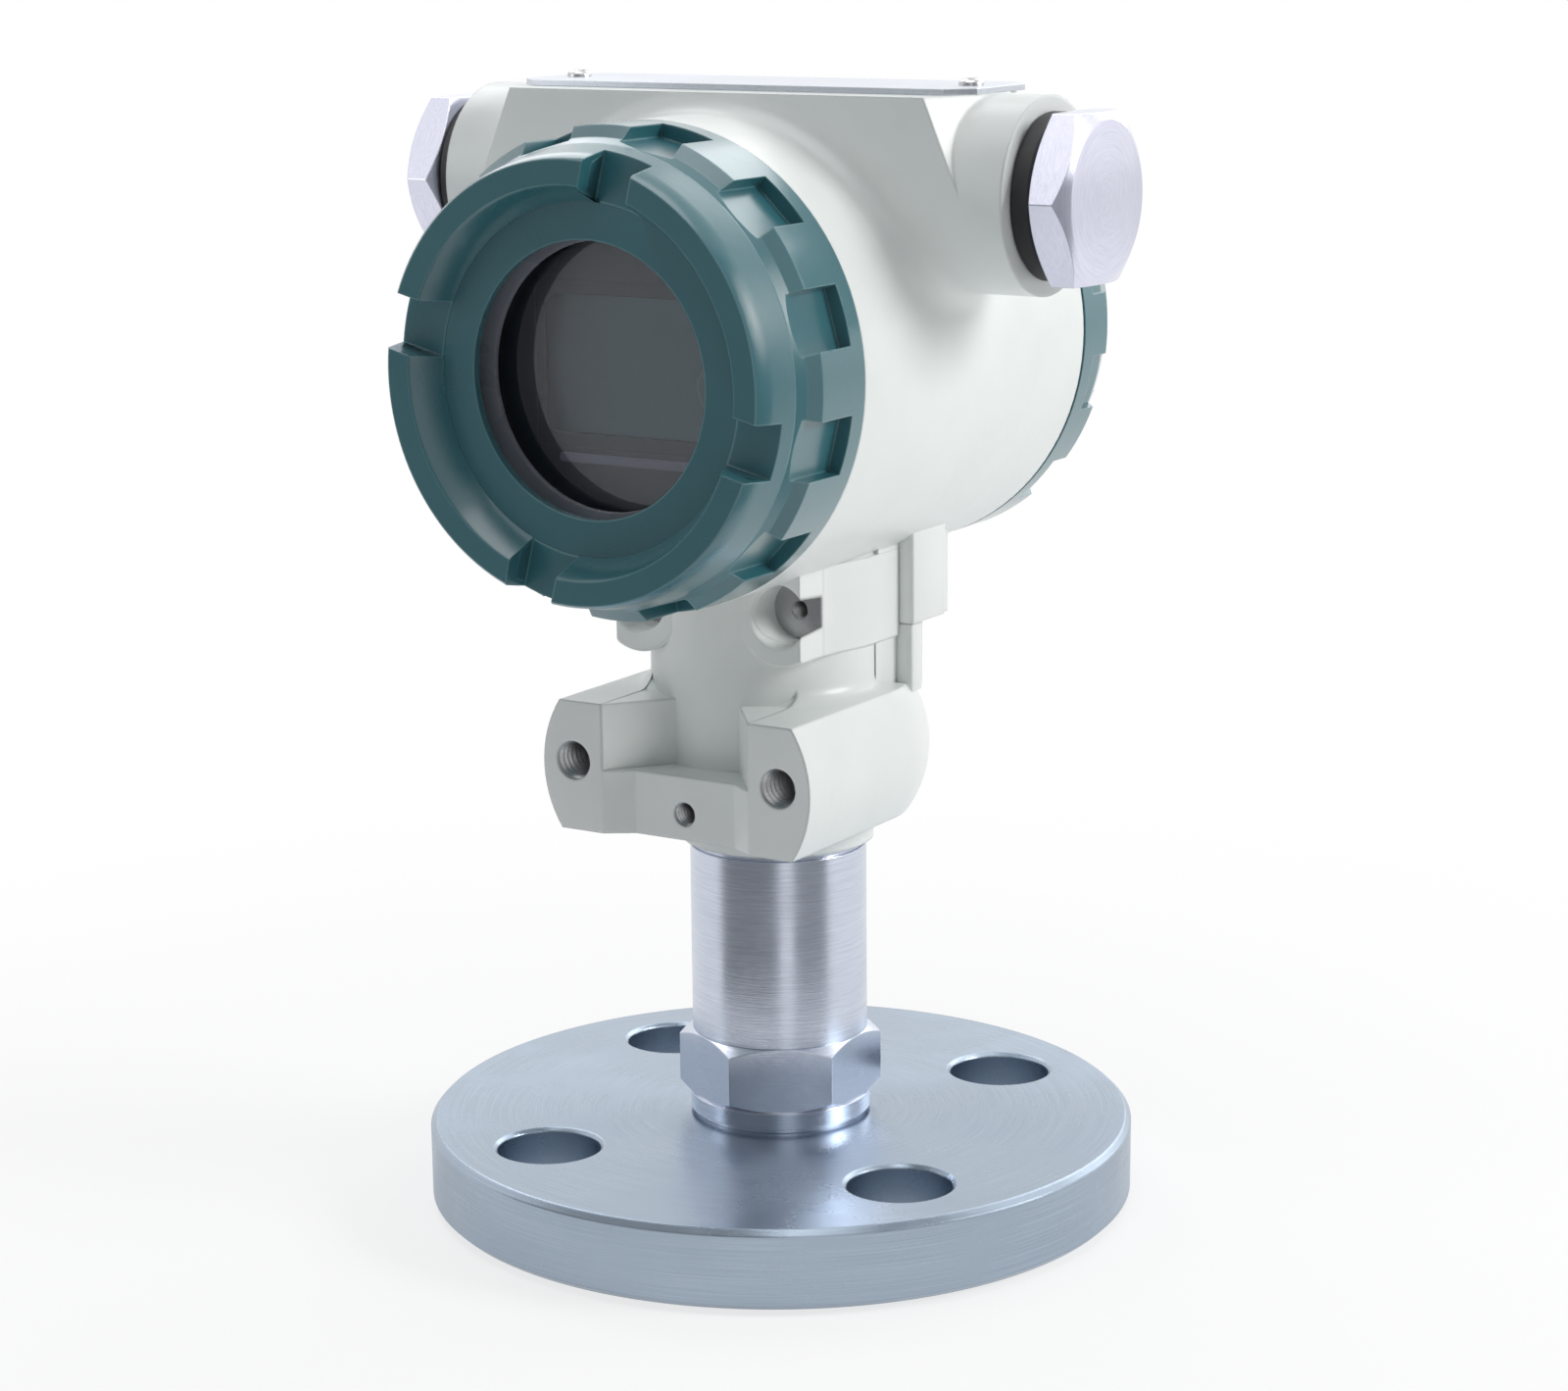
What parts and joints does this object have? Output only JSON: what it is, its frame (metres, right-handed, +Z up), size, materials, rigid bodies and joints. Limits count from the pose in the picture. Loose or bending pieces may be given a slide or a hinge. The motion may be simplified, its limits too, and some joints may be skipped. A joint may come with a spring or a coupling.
{
  "type": "flange-mounted pressure transmitter",
  "caption": "Pressure transmitter with a two-chamber painted head, windowed screw cover, blanked conduit entries and a stem on a drilled flange.",
  "frame": {"origin": "centre of the flange's raised sealing face, which is the part's lowest plane", "axes": "+Z up along the stem; the display and its cover face -Y; +X is to the right of a person reading the display"},
  "size_m": [0.1292, 0.125, 0.1971],
  "materials": {
    "housing_paint": "off-white powder coat with a fine orange peel",
    "cover_paint": "teal powder coat, worn a little at its edges",
    "flange_steel": "faced stainless steel",
    "turned_steel": "turned stainless steel",
    "diaphragm_steel": "thin pressed stainless sheet",
    "plug_nickel": "bright nickel plate with turning marks",
    "screw_steel": "zinc-plated steel",
    "nameplate_steel": "bare brushed stainless sheet",
    "black_rubber": "moulded black rubber",
    "grey_gasket": "grey fibre gasket",
    "window_glass": "toughened clear glass",
    "dark_plastic": "dark moulded plastic",
    "display_face": "unlit grey-green liquid crystal panel",
    "circuit_board": "solder-masked board",
    "terminal_plastic": "black moulded terminal block",
    "terminal_brass": "nickel-flashed brass"
  },
  "bodies": {
    "base": {"flange": "flange_steel", "process_diaphragm": "diaphragm_steel", "hex_connector": "turned_steel", "sensor_stem": "turned_steel", "stem_seal": "black_rubber", "pressure_cell": "turned_steel", "cell_seal": "black_rubber", "cell_retaining_ring": "turned_steel", "capillary_tube": "turned_steel"},
    "head": {"housing_casting": "housing_paint", "head_lock_screw": "screw_steel", "display_bezel": "dark_plastic", "display_panel": "display_face", "display_board": "circuit_board", "display_posts": "screw_steel", "display_screws": "screw_steel", "electronics_module": "dark_plastic", "sensor_lead": "black_rubber", "feedthrough": "screw_steel", "terminal_block": "terminal_plastic", "terminal_clamps": "terminal_brass", "terminal_screws": "screw_steel", "chamber_earth_screw": "screw_steel", "nameplate": "nameplate_steel", "nameplate_screws": "screw_steel"},
    "front_seal": {"front_cover_seal": "black_rubber"},
    "front_cover": {"front_cover": "cover_paint", "window_gasket": "grey_gasket", "window_glass": "window_glass", "window_snap_ring": "screw_steel"},
    "rear_seal": {"rear_cover_seal": "black_rubber"},
    "rear_cover": {"rear_cover": "cover_paint"},
    "washer_left": {"plug_washer_left": "black_rubber"},
    "plug_left": {"conduit_plug_left": "plug_nickel"},
    "washer_right": {"plug_washer_right": "black_rubber"},
    "plug_right": {"conduit_plug_right": "plug_nickel"}
  },
  "joints": [
    {"name": "head_swivel", "type": "hinge", "parent": "base", "child": "head", "pos_m": [0, 0, 0.08], "axis": [0, 0, 1], "range_deg": [-180, 180]},
    {"name": "front_cover_travel", "type": "slide", "parent": "head", "child": "front_seal", "axis": [0, -1, 0], "range_m": [0, 0.0101]},
    {"name": "front_cover_turn", "type": "hinge", "parent": "front_seal", "child": "front_cover", "pos_m": [0, -0.0362, 0.1516], "axis": [0, -1, 0], "range_deg": [0, 1800]},
    {"name": "rear_cover_travel", "type": "slide", "parent": "head", "child": "rear_seal", "axis": [0, 1, 0], "range_m": [0, 0.0101]},
    {"name": "rear_cover_turn", "type": "hinge", "parent": "rear_seal", "child": "rear_cover", "pos_m": [0, 0.0389, 0.1516], "axis": [0, 1, 0], "range_deg": [0, 1800]},
    {"name": "plug_left_travel", "type": "slide", "parent": "head", "child": "washer_left", "axis": [-1, 0, 0], "range_m": [0, 0.0091]},
    {"name": "plug_left_turn", "type": "hinge", "parent": "washer_left", "child": "plug_left", "pos_m": [-0.054, -0.003, 0.1784], "axis": [-1, 0, 0], "range_deg": [0, 2160]},
    {"name": "plug_right_travel", "type": "slide", "parent": "head", "child": "washer_right", "axis": [1, 0, 0], "range_m": [0, 0.0091]},
    {"name": "plug_right_turn", "type": "hinge", "parent": "washer_right", "child": "plug_right", "pos_m": [0.054, -0.003, 0.1784], "axis": [1, 0, 0], "range_deg": [0, 2160]}
  ],
  "couplings": [
    {"joint": "front_cover_travel", "follows": "front_cover_turn", "m_per_rad": 0.00031831},
    {"joint": "rear_cover_travel", "follows": "rear_cover_turn", "m_per_rad": 0.00031831},
    {"joint": "plug_left_travel", "follows": "plug_left_turn", "m_per_rad": 0.00023873},
    {"joint": "plug_right_travel", "follows": "plug_right_turn", "m_per_rad": 0.00023873}
  ]
}
